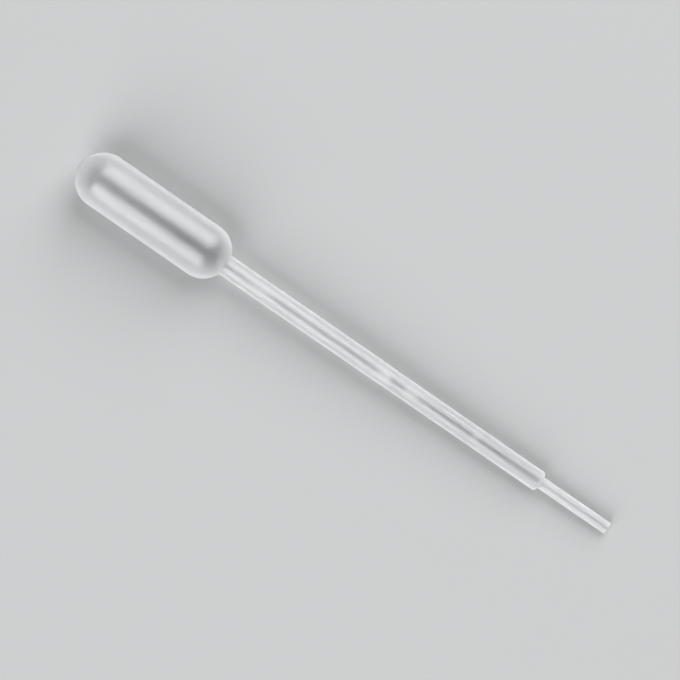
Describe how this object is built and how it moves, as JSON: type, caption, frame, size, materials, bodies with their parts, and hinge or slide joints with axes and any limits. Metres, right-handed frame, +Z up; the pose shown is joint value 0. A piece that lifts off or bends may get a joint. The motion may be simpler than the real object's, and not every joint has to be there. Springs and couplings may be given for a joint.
{
  "type": "plastic dropper pipette",
  "caption": "Disposable plastic dropper pipette with a squeeze bulb, a long stem and a fine open tip, lying on its side.",
  "frame": {"origin": "middle of the footprint, on the surface that the pipette lies on", "axes": "+X along the pipette from the bulb's nose towards the tip's mouth, +Y across it, +Z up"},
  "size_m": [0.147, 0.0132, 0.0142],
  "materials": {
    "milky_polyethylene": "natural low-density polyethylene, milky and translucent, with a soft waxy gloss"
  },
  "bodies": {
    "root": {"pipette": "milky_polyethylene"}
  },
  "joints": []
}
